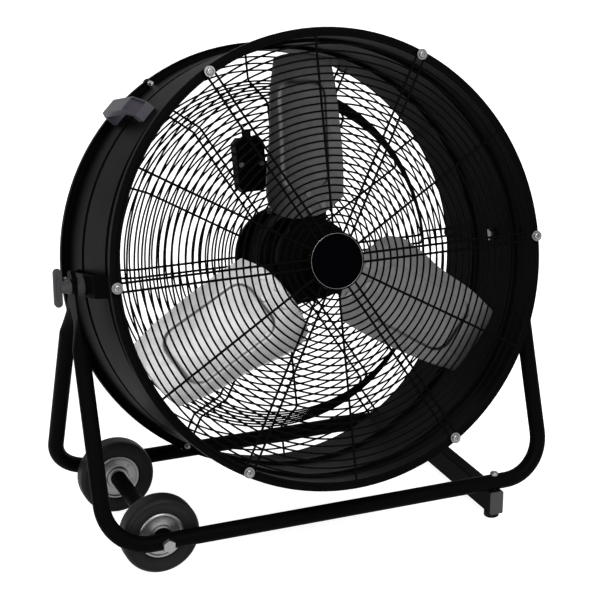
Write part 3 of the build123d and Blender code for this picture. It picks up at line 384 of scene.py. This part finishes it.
class Paint(Enum):
    """Every finish of the fan, under the name of its slot in the record."""

    BLACK_PAINT = PowderCoat("black_paint", BLACK, 0.42, specular=0.006)
    BLACK_WIRE = PowderCoat("black_wire", BLACK, 0.42, specular=0.006, peel_depth=0.00003)
    GALVANISED_SHEET = GalvanisedSheet(
        "galvanised_sheet", (0.135, 0.135, 0.135), 0.34, metallic=1.0, mottle_per_metre=14.0,
        grain_depth=0.00002, grain_strength=0.35, roughness_swing=0.15,
    )
    ZINC_PLATE = ZincPlate("zinc_plate", (0.19, 0.19, 0.188), 0.28, metallic=1.0, mottle=0.06)
    STEEL = Finish("steel", (0.30, 0.30, 0.30), 0.34, metallic=1.0, grain_per_metre=1600.0)
    IRON_CORE = Laminations("iron_core", (0.14, 0.13, 0.125), 0.55, metallic=0.8)
    TYRE_RUBBER = Finish(
        "tyre_rubber", (0.010, 0.010, 0.0105), 0.52, specular=0.07, mottle=0.2,
        mottle_per_metre=30.0, grain_per_metre=1300.0, grain_depth=0.00008, grain_strength=0.4,
    )
    FOOT_RUBBER = Finish("foot_rubber", (0.006, 0.006, 0.006), 0.7, specular=0.05, mottle=0.25, grain_depth=0.00008)
    BLACK_PLASTIC = Finish(
        "black_plastic", (0.0020, 0.0020, 0.0020), 0.45, specular=0.01, grain_per_metre=1500.0, grain_depth=0.00006,
        grain_strength=0.4,
    )
    GREY_PLASTIC = Finish(
        "grey_plastic", (0.038, 0.038, 0.041), 0.5, specular=0.12, grain_per_metre=1500.0, grain_depth=0.00006,
        grain_strength=0.4,
    )
    HANDLE_PLASTIC = Finish(
        "handle_plastic", (0.036, 0.033, 0.043), 0.46, specular=0.1, grain_per_metre=1200.0,
        grain_depth=0.00008, grain_strength=0.5,
    )
    BADGE_PLASTIC = Finish(
        "badge_plastic", (0.0005, 0.0005, 0.0009), 0.16, specular=0.004, mottle_per_metre=40.0, grain_depth=0.00001,
    )
    FIBRE = Finish("fibre", (0.03, 0.03, 0.03), 0.75, specular=0.3, grain_per_metre=500.0, grain_depth=0.0001)

    def coat(self, *pieces: bpy.types.Object) -> None:
        """Give pieces this finish."""
        for piece in pieces:
            piece.data.materials.clear()
            piece.data.materials.append(MATERIALS[self])


MATERIALS: dict[Paint, bpy.types.Material] = {}


# ---------------------------------------------------------------- modelling by hand
START_SIZE = 0.001          # of the plane that a turned piece starts from
SAME_POINT = 0.00001        # points nearer than this are one
FINE_GAP = 0.000001         # the same, where thin edges stay apart


class Bench:
    """The modelling steps that the pieces share."""

    @staticmethod
    def take(piece: bpy.types.Object | None = None) -> None:
        """Deselect everything and make one piece the active one.

        Args:
            piece: The piece to select, or nothing.
        """
        if bpy.context.object is not None and bpy.context.object.mode != "OBJECT":
            bpy.ops.object.mode_set(mode="OBJECT")
        bpy.ops.object.select_all(action="DESELECT")
        bpy.context.view_layer.objects.active = piece
        if piece is not None:
            piece.select_set(True)

    @staticmethod
    def modify(piece: bpy.types.Object, kind: str, **options: Any) -> None:
        """Add a modifier, set its options and apply it.

        Args:
            piece: The piece to change.
            kind: The modifier's type.
            options: The modifier's own settings.
        """
        Bench.take(piece)
        modifier = piece.modifiers.new(kind.lower(), kind)
        for option, value in options.items():
            setattr(modifier, option, value)
        bpy.ops.object.modifier_apply(modifier=modifier.name)

    @staticmethod
    def soften(piece: bpy.types.Object, width: float, segments: int = 2, angle: float = 30.0) -> None:
        """Round the sharp edges of a piece.

        Args:
            piece: The piece to change.
            width: How far the rounding reaches.
            segments: Faces across it.
            angle: Edges sharper than this are rounded, in degrees.
        """
        Bench.modify(
            piece, "BEVEL", width=width, segments=segments, limit_method="ANGLE", angle_limit=math.radians(angle),
        )

    @staticmethod
    def smooth(piece: bpy.types.Object, angle: float = 35.0) -> None:
        """Shade smoothly across edges flatter than an angle."""
        Bench.take(piece)
        bpy.ops.object.shade_smooth_by_angle(angle=math.radians(angle))

    @staticmethod
    def clean(piece: bpy.types.Object, gap: float = SAME_POINT) -> None:
        """Merge doubled points and turn every face outwards.

        Args:
            piece: The piece to change.
            gap: Points nearer than this are one.
        """
        Bench.take(piece)
        bpy.ops.object.mode_set(mode="EDIT")
        bpy.ops.mesh.select_all(action="SELECT")
        bpy.ops.mesh.remove_doubles(threshold=gap)
        bpy.ops.mesh.normals_make_consistent(inside=False)
        bpy.ops.object.mode_set(mode="OBJECT")

    @staticmethod
    def settle(piece: bpy.types.Object) -> None:
        """Put a piece's place into its mesh and its origin at the fan's."""
        Bench.take(piece)
        bpy.ops.object.transform_apply(location=True, rotation=True, scale=True)

    @staticmethod
    def lathe(
        name: str, outline: Sequence[tuple[float, float]], seat: Seat, steps: int, closed: bool = True,
    ) -> bpy.types.Object:
        """Extrude an outline point by point and spin it about a seat's axis.

        Args:
            name: The piece's name.
            outline: Points as distance from the axis and depth along it.
            seat: The axis and the direction in which the outline is drawn.
            steps: Faces round the axis.
            closed: Whether the last point joins the first.

        Returns:
            The turned piece.
        """
        Bench.take()
        bpy.ops.mesh.primitive_plane_add(size=START_SIZE)
        piece = bpy.context.object
        piece.name = name
        route = [seat.point(*spot) for spot in outline]
        if closed:
            route.append(route[0])
        bpy.ops.object.mode_set(mode="EDIT")
        bpy.ops.mesh.merge(type="CENTER")
        bpy.ops.transform.translate(value=route[0])
        for start, end in zip(route, route[1:]):
            bpy.ops.mesh.extrude_region_move(TRANSFORM_OT_translate={"value": end - start})
        bpy.ops.mesh.select_all(action="SELECT")
        bpy.ops.mesh.remove_doubles(threshold=FINE_GAP)
        bpy.ops.mesh.select_all(action="SELECT")
        bpy.ops.mesh.spin(steps=steps, angle=math.tau, center=seat.origin, axis=seat.along)
        bpy.ops.object.mode_set(mode="OBJECT")
        Bench.clean(piece)
        return piece

    @staticmethod
    def join(name: str, pieces: Iterable[bpy.types.Object]) -> bpy.types.Object:
        """Join pieces of one finish into one object.

        Args:
            name: The whole piece's name.
            pieces: What it is made of.

        Returns:
            The whole piece.
        """
        group = list(pieces)
        Bench.take(group[0])
        for piece in group:
            piece.select_set(True)
        bpy.ops.object.join()
        whole = bpy.context.object
        whole.name = name
        return whole

    @staticmethod
    def copy(piece: bpy.types.Object, name: str, move: Matrix) -> bpy.types.Object:
        """Copy a piece with its own mesh and move it into place.

        Args:
            piece: The piece to copy.
            name: The copy's name.
            move: Where it goes; a mirror has its faces turned out again.

        Returns:
            The copy.
        """
        twin = piece.copy()
        twin.data = piece.data.copy()
        twin.name = name
        bpy.context.scene.collection.objects.link(twin)
        twin.data.transform(move)
        if move.determinant() < 0:
            Bench.clean(twin)
        return twin


# ---------------------------------------------------------------- wheels
@dataclass
class Wheel:
    """One wheel: a moulded tyre on two pressed discs."""

    end: str
    centre_y: float
    radius: float = 0.060
    half_width: float = 0.0165
    disc_radius: float = 0.036
    sheet: float = 0.002
    bush_radius: float = 0.010
    centre_x: float = -0.272
    steps: int = 96
    ribs: tuple[float, float] = (0.0088, 0.0062)        # in from the tread
    marks: int = 6
    first_mark: float = 20.0        # degrees
    mark_circle: float = 0.0252
    mark_face: float = 0.0110
    mark_steps: int = 16
    tyre_smooth: float = 28.0       # degrees
    disc_smooth: float = 30.0

    @property
    def seat(self) -> Seat:
        """The wheel's axis, with its front at negative depth."""
        centre = Vector((self.centre_x, self.centre_y, self.radius))
        return Seat(centre, Vector((0, 1, 0)), Vector((1, 0, 0)))

    def tyre(self) -> bpy.types.Object:
        """Turn the tyre with two fine ribs near the edge of each sidewall."""
        half = self.half_width
        wall = [
            (self.disc_radius, half - 0.0050), (self.disc_radius + 0.0012, half - 0.0030),
            (self.disc_radius + 0.0040, half - 0.0016), (self.disc_radius + 0.0085, half - 0.0006),
            (self.radius - 0.0105, half - 0.0002),
        ]
        for rib in self.ribs:
            wall += [
                (self.radius - rib - 0.0003, half - 0.0004), (self.radius - rib, half),
                (self.radius - rib + 0.0008, half), (self.radius - rib + 0.0011, half - 0.0006),
            ]
        wall += [
            (self.radius - 0.0036, half - 0.0012), (self.radius - 0.0014, half - 0.0032),
            (self.radius - 0.0003, half - 0.0058), (self.radius, half - 0.0085), (self.radius, half - 0.0120),
        ]
        outline = wall + [(out, -along) for out, along in reversed(wall)]
        piece = Bench.lathe(f"{self.end}_tyre_moulded", outline, self.seat, self.steps)
        Bench.smooth(piece, self.tyre_smooth)
        return piece

    def discs(self) -> bpy.types.Object:
        """Turn the pressed disc with its rolled rim and round marks, and mirror it."""
        rim, sheet = self.disc_radius, self.sheet
        face = [
            (self.bush_radius, 0.0145), (self.bush_radius, 0.0165), (0.0150, 0.0165), (0.0166, 0.0158),
            (0.0174, 0.0140), (0.0182, 0.0118), (0.0200, 0.0110), (rim - 0.0075, 0.0110),
            (rim - 0.0058, 0.0114), (rim - 0.0048, 0.0124), (rim - 0.0036, 0.0131), (rim - 0.0016, 0.0131),
            (rim - 0.0004, 0.0122), (rim, 0.0108), (rim, 0.0),
        ]
        back = [
            (rim - sheet, 0.0), (rim - sheet, 0.0080), (rim - 0.0050, 0.0090), (0.0180, 0.0090),
            (0.0158, 0.0105), (0.0148, 0.0145),
        ]
        front = Bench.lathe(f"{self.end}_disc", face + back, self.seat, self.steps)
        marks = [front]
        for index in range(self.marks):
            seat = self.seat.turned(360 / self.marks * index + self.first_mark)
            spot = Seat(seat.point(self.mark_circle, self.mark_face), seat.along, seat.out)
            mark = [(0.0, 0.0001), (0.0016, 0.0001), (0.0019, 0.0006), (0.0023, 0.0006), (0.0027, -0.0002)]
            marks.append(Bench.lathe("mark", mark, spot, self.mark_steps, closed=False))
        half = Bench.join(f"{self.end}_wheel_discs_pressed", marks)
        mirror = Matrix.Diagonal((1, -1, 1, 1))
        across = Matrix.Translation((0, self.centre_y, 0)) @ mirror @ Matrix.Translation((0, -self.centre_y, 0))
        other = Bench.copy(half, "other_half", across)
        whole = Bench.join(f"{self.end}_wheel_discs_pressed", [half, other])
        Bench.smooth(whole, self.disc_smooth)
        return whole

    def build(self) -> None:
        """Model both pieces and hang them on the wheel's body."""
        for piece, node, paint in (
            (self.tyre(), f"{self.end}_tyre", Paint.TYRE_RUBBER),
            (self.discs(), f"{self.end}_wheel_discs", Paint.ZINC_PLATE),
        ):
            paint.coat(piece)
            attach(piece, f"{self.end}_wheel")
            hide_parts(node)
            LOG.info("%s: %d faces", piece.name, len(piece.data.polygons))


# ---------------------------------------------------------------- fan
@dataclass
class Blade:
    """One pressed blade in its own plane: x outwards, y along the chord, z off its front."""

    index: int
    angle: float
    middle: float = 0.045           # its plane's place along the drum's axis
    pitch: float = 19.4
    camber: float = 0.380
    dip: float = 0.0025
    sheet: float = 0.0016
    edge_round: float = 0.0004
    edge_angle: float = 50.0        # degrees
    smooth_angle: float = 40.0
    panel_out: tuple[float, float] = (0.106, 0.264)
    panel_along: tuple[float, float] = (-0.038, 0.054)
    panel_corner: float = 0.024
    panel_raise: float = 0.0020
    panel_slope: float = 0.0036
    cells_out: int = 96
    cells_along: int = 64
    root: list[tuple[float, float]] = field(
        default_factory=lambda: [(0.090, -0.064), (0.070, -0.032), (0.0625, 0.002), (0.064, 0.046), (0.076, 0.084)]
    )
    tip: list[tuple[float, float]] = field(
        default_factory=lambda: [(0.299, -0.052), (0.304, -0.030), (0.307, 0.002), (0.3055, 0.034), (0.300, 0.060)]
    )
    rear: list[tuple[float, float]] = field(
        default_factory=lambda: [(0.090, -0.064), (0.150, -0.066), (0.250, -0.060), (0.299, -0.052)]
    )
    front: list[tuple[float, float]] = field(
        default_factory=lambda: [
            (0.076, 0.084), (0.100, 0.093), (0.140, 0.0895), (0.180, 0.0805), (0.245, 0.0735), (0.300, 0.060),
        ]
    )

    def frame(self) -> Matrix:
        """The matrix from the blade's plane to the fan's frame."""
        seat = DRUM.turned(self.angle)
        pitch = math.radians(self.pitch)
        chord = seat.across * math.cos(pitch) + seat.along * math.sin(pitch)
        normal = seat.out.cross(chord)
        axes = Matrix((seat.out, chord, normal)).transposed().to_4x4()
        return Matrix.Translation(seat.point(0.0, self.middle)) @ axes

    @staticmethod
    def along_line(points: Sequence[tuple[float, float]], share: float) -> Vector:
        """The point at a share of a smooth line through points.

        Args:
            points: What the line goes through.
            share: How far along it, from 0 to 1.

        Returns:
            The point.
        """
        spots = [Vector(spot) for spot in points]
        lengths = [(b - a).length for a, b in zip(spots, spots[1:])]
        left = share * sum(lengths)
        index = 0
        while index < len(lengths) - 1 and left > lengths[index]:
            left -= lengths[index]
            index += 1
        t = min(1.0, left / lengths[index])
        before = spots[max(index - 1, 0)]
        after = spots[min(index + 2, len(spots) - 1)]
        start, end = spots[index], spots[index + 1]
        leave = (end - before) * lengths[index] / (end - before).length
        arrive = (after - start) * lengths[index] / (after - start).length
        return (
            start * (2 * t**3 - 3 * t**2 + 1) + leave * (t**3 - 2 * t**2 + t)
            + end * (-2 * t**3 + 3 * t**2) + arrive * (t**3 - t**2)
        )

    def spot(self, out: float, along: float) -> Vector:
        """A point of the blank between its four edges.

        Args:
            out: The share of the way from root to tip.
            along: The share of the way from the rear edge to the front one.

        Returns:
            The point in the blade's plane.
        """
        rear, front = self.along_line(self.rear, out), self.along_line(self.front, out)
        root, tip = self.along_line(self.root, along), self.along_line(self.tip, along)
        corners = (
            Vector(self.rear[0]) * (1 - out) * (1 - along) + Vector(self.rear[-1]) * out * (1 - along)
            + Vector(self.front[0]) * (1 - out) * along + Vector(self.front[-1]) * out * along
        )
        return rear * (1 - along) + front * along + root * (1 - out) + tip * out - corners

    def height(self, out: float, along: float) -> float:
        """The front surface's height: the camber and the raised panel.

        Args:
            out: Distance from the fan's axis.
            along: Distance along the chord.

        Returns:
            The height off the blade's plane.
        """
        bow = self.camber - self.dip - math.sqrt(self.camber**2 - along**2)
        middle = Vector((sum(self.panel_out) / 2, sum(self.panel_along) / 2))
        half = Vector((self.panel_out[1] - middle.x, self.panel_along[1] - middle.y))
        reach = Vector((abs(out - middle.x), abs(along - middle.y))) - half + Vector((1, 1)) * self.panel_corner
        outside = Vector((max(reach.x, 0), max(reach.y, 0))).length
        distance = outside + min(max(reach.x, reach.y), 0) - self.panel_corner
        share = min(1.0, max(0.0, 0.5 - distance / self.panel_slope))
        return bow + self.panel_raise * share * share * (3 - 2 * share)

    def build(self) -> None:
        """Press the blade from a grid, thicken it and hang it on the fan."""
        Bench.take()
        bpy.ops.mesh.primitive_grid_add(x_subdivisions=self.cells_out, y_subdivisions=self.cells_along, size=1.0)
        piece = bpy.context.object
        piece.name = f"blade_{self.index}_pressed"
        for vertex in piece.data.vertices:
            flat = self.spot(vertex.co.x + 0.5, vertex.co.y + 0.5)
            vertex.co = (flat.x, flat.y, self.height(flat.x, flat.y))
        unwrapped = piece.data.uv_layers.active or piece.data.uv_layers.new(name="UVMap")
        for loop in piece.data.loops:
            spot = piece.data.vertices[loop.vertex_index].co
            unwrapped.data[loop.index].uv = (spot.x, spot.y)
        Bench.modify(piece, "SOLIDIFY", thickness=self.sheet, offset=-1.0, use_even_offset=True)
        Bench.soften(piece, self.edge_round, 2, self.edge_angle)
        piece.data.transform(self.frame())
        Bench.clean(piece, FINE_GAP)
        Bench.smooth(piece, self.smooth_angle)
        Paint.GALVANISED_SHEET.coat(piece)
        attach(piece, "fan")
        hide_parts(f"blade_{self.index}")
        LOG.info("%s: %d faces", piece.name, len(piece.data.polygons))


# ---------------------------------------------------------------- clamp knobs
@dataclass
class WingKnob:
    """One clamp knob: a long rounded wing with an oval hollow in each face, on a waisted hub."""

    side: Side
    start: float = 0.3640           # the hub's foot, from the middle of the fan
    wing_middle: float = 0.3832
    half_wide: float = 0.0062
    reach: float = 0.0290
    thick: float = 0.0070
    bore: float = 0.00505
    bore_deep: float = 0.0110
    hollow: tuple[float, float] = (0.0190, 0.0028)
    hollow_deep: float = 0.0016
    edge_round: float = 0.0012
    edge_angle: float = 40.0        # degrees
    smooth_angle: float = 35.0
    wing_steps: int = 64
    hollow_steps: int = 48
    stem_steps: int = 48
    hub: list[tuple[float, float]] = field(
        default_factory=lambda: [
            (0.0104, 0.0), (0.0110, 0.0008), (0.0106, 0.0040), (0.0088, 0.0085), (0.0082, 0.0125), (0.0066, 0.0155),
        ]
    )

    @property
    def seat(self) -> Seat:
        """The pivot axis, outwards on this side, with the wing upright."""
        return Seat(PIVOT, Vector((self.side.value, 0, 0)), Vector((0, 0, 1)))

    def stem(self) -> bpy.types.Object:
        """Turn the waisted hub with its blind bore."""
        end = self.start + self.bore_deep
        outline = [(self.bore, self.start)] + [(out, self.start + along) for out, along in self.hub]
        outline += [(0.0, self.start + self.hub[-1][1]), (0.0, end), (self.bore, end)]
        return Bench.lathe("stem", outline, self.seat, self.stem_steps)

    def wing(self) -> bpy.types.Object:
        """Stretch a disc into the wing, press its hollows and round its edges."""
        Bench.take()
        bpy.ops.mesh.primitive_cylinder_add(
            vertices=self.wing_steps, radius=self.half_wide, depth=self.thick, rotation=(math.pi / 2, 0, 0),
        )
        wing = bpy.context.object
        Bench.settle(wing)
        for vertex in wing.data.vertices:
            vertex.co.x += math.copysign(self.reach - self.half_wide, vertex.co.x)
        for face in (-1, 1):
            Bench.take()
            place = (0.0, face * self.thick / 2, 0.0)
            bpy.ops.mesh.primitive_cylinder_add(
                vertices=self.hollow_steps, radius=1.0, depth=2 * self.hollow_deep, location=place,
                rotation=(math.pi / 2, 0, 0),
            )
            cutter = bpy.context.object
            cutter.scale = (self.hollow[0], self.hollow[1], 1.0)
            Bench.settle(cutter)
            Bench.modify(wing, "BOOLEAN", object=cutter, operation="DIFFERENCE")
            bpy.data.objects.remove(cutter)
        Bench.soften(wing, self.edge_round, 3, self.edge_angle)
        wing.data.transform(self.seat.frame() @ Matrix.Translation((0, 0, self.wing_middle)))
        return wing

    def build(self) -> None:
        """Model the knob and hang it on its clamp."""
        name = self.side.name.lower()
        knob = Bench.join(f"{name}_wing_knob_moulded", [self.stem(), self.wing()])
        Bench.smooth(knob, self.smooth_angle)
        Paint.GREY_PLASTIC.coat(knob)
        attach(knob, f"{name}_clamp")
        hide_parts(f"{name}_wing_knob")
        LOG.info("%s: %d faces", knob.name, len(knob.data.polygons))


# ---------------------------------------------------------------- drum
@dataclass
class Badge:
    """The blank disc's painted highlight: a thin pale zinc ring on the black disc, standing in for the highlight
    along its raised line.
    """

    line_radius: float = 0.0404
    line_wire: float = 0.0003
    face: float = 0.1349            # the disc's face along the drum's axis
    steps: int = 128
    wire_steps: int = 10
    smooth_angle: float = 60.0

    def build(self) -> None:
        """Lay the painted highlight on the disc as a thin pale ring."""
        Bench.take()
        bpy.ops.mesh.primitive_torus_add(
            major_segments=self.steps, minor_segments=self.wire_steps,
            major_radius=self.line_radius, minor_radius=self.line_wire,
        )
        ring = bpy.context.object
        ring.name = "badge_line"
        ring.data.transform(Seat(DRUM.point(0, self.face), DRUM.along, DRUM.out).frame())
        Bench.smooth(ring, self.smooth_angle)
        # The pale zinc of this ring is a painted highlight on the disc's raised black line.
        Paint.ZINC_PLATE.coat(ring)
        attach(ring, "drum")
        LOG.info("badge_line: %d faces", len(ring.data.polygons))


# ---------------------------------------------------------------- studio
@dataclass(frozen=True)
class Lamp:
    """One soft square lamp."""

    name: str
    place: tuple[float, float, float]
    aim: tuple[float, float, float]
    side: float
    watts: float

    def hang(self) -> None:
        """Hang the lamp at its place, facing its aim."""
        Bench.take()
        towards = Vector(self.aim) - Vector(self.place)
        turn = towards.to_track_quat("-Z", "Y").to_euler()
        bpy.ops.object.light_add(type="AREA", location=self.place, rotation=turn)
        lamp = bpy.context.object
        lamp.name = self.name
        lamp.data.size = self.side
        lamp.data.energy = self.watts


@dataclass
class Studio:
    """Pale floor, soft lamps and the camera."""

    eye: Vector = field(default_factory=lambda: Vector((-0.97887, -2.38128, 1.23437)))
    turn: float = 22.39             # degrees towards +X
    look_down: float = 18.9
    focal_pixels: float = 1761.7
    picture_wide: float = 600.0
    sensor: float = 36.0
    reach: float = 60.0             # how far the camera sees
    floor_size: float = 14.0
    floor_middle: tuple[float, float, float] = (0.0, 2.0, -0.0002)
    floor_grey: float = 0.8
    floor_glow: float = 0.86        # what the floor adds where it is seen, to show white
    ambient: float = 0.55           # the surroundings' strength as a light
    lamps: tuple[Lamp, ...] = (
        Lamp("key_lamp", (0.05, -2.5, 2.5), (0.0, 0.0, 0.35), 1.6, 90.0),
        Lamp("left_lamp", (-1.9, -1.6, 0.15), (-0.2, 0.0, 0.25), 0.9, 19.0),
    )

    def camera(self) -> None:
        """Stand the camera where the picture was taken from."""
        turn, down = math.radians(self.turn), math.radians(self.look_down)
        forward = Vector((math.sin(turn) * math.cos(down), math.cos(turn) * math.cos(down), -math.sin(down)))
        Bench.take()
        bpy.ops.object.camera_add(location=self.eye, rotation=forward.to_track_quat("-Z", "Y").to_euler())
        camera = bpy.context.object
        camera.data.sensor_width = self.sensor
        camera.data.lens = self.focal_pixels / self.picture_wide * self.sensor
        camera.data.clip_end = self.reach
        bpy.context.scene.camera = camera

    def floor(self) -> None:
        """Lay a pale floor that shows white and keeps the shadow."""
        Bench.take()
        bpy.ops.mesh.primitive_plane_add(size=self.floor_size, location=self.floor_middle)
        floor = bpy.context.object
        floor.name = "studio_floor"
        shader = Shader("floor_white")
        shader.surface.inputs["Base Color"].default_value = (self.floor_grey, self.floor_grey, self.floor_grey, 1.0)
        shader.surface.inputs["Roughness"].default_value = 0.9
        shader.surface.inputs["Specular IOR Level"].default_value = 0.0
        shader.surface.inputs["Emission Color"].default_value = WHITE
        glow = shader.add("Math", {0: shader.seen(), 1: self.floor_glow}, operation="MULTIPLY").outputs[0]
        shader.feed(shader.surface.inputs["Emission Strength"], glow)
        floor.data.materials.append(shader.material)

    def world(self) -> None:
        """White all round where it is seen, softer as a light."""
        world = bpy.data.worlds.new("studio")
        bpy.context.scene.world = world
        world.use_nodes = True
        wiring = Wiring(world.node_tree)
        level = wiring.span(wiring.seen(), self.ambient, 1.0, 0.0, 1.0)
        light = wiring.add("Background", {"Color": WHITE, "Strength": level})
        output = wiring.add("OutputWorld")
        wiring.feed(output.inputs["Surface"], light.outputs[0])

    def build(self) -> None:
        """Set up the whole studio."""
        self.camera()
        self.floor()
        self.world()
        for lamp in self.lamps:
            lamp.hang()
        bpy.context.scene.view_settings.view_transform = "Standard"
        LOG.info("studio: camera, floor and %d lamps", len(self.lamps))


# ---------------------------------------------------------------- the whole fan
class DrumFan:
    """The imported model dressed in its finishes, with its detailed pieces."""

    wheel_places = {"front": -0.1154, "rear": 0.1080}
    blades = 3
    first_blade = 87.3              # degrees round the drum's axis
    smooth_angle = 32.0

    def __init__(self, frame: dict[str, Any]) -> None:
        """Keep the frame and make every finish once.
        """
        self.frame = frame
        for paint in Paint:
            MATERIALS[paint] = paint.value.material()

    def dress(self) -> None:
        """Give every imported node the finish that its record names."""
        paints = {paint.value.name: paint for paint in Paint}
        for part in self.frame["record"]["subparts"]:
            node = self.frame["nodes"][part["node"]]
            paints[part["material_slot"]].coat(node)
            Bench.smooth(node, self.smooth_angle)
        LOG.info("dressed %d nodes", len(self.frame["nodes"]))

    def build(self) -> None:
        """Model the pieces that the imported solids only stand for."""
        self.dress()
        for end, centre_y in self.wheel_places.items():
            Wheel(end, centre_y).build()
        for index in range(self.blades):
            Blade(index + 1, self.first_blade + 360 / self.blades * index).build()
        for side in Side:
            WingKnob(side).build()
        Badge().build()


def main() -> None:
    """Load the frame, build the fan and the studio."""
    logging.basicConfig(level=logging.INFO, format="%(name)s %(message)s")
    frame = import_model()
    DrumFan(frame).build()
    Studio().build()


if __name__ == "__main__":
    main()
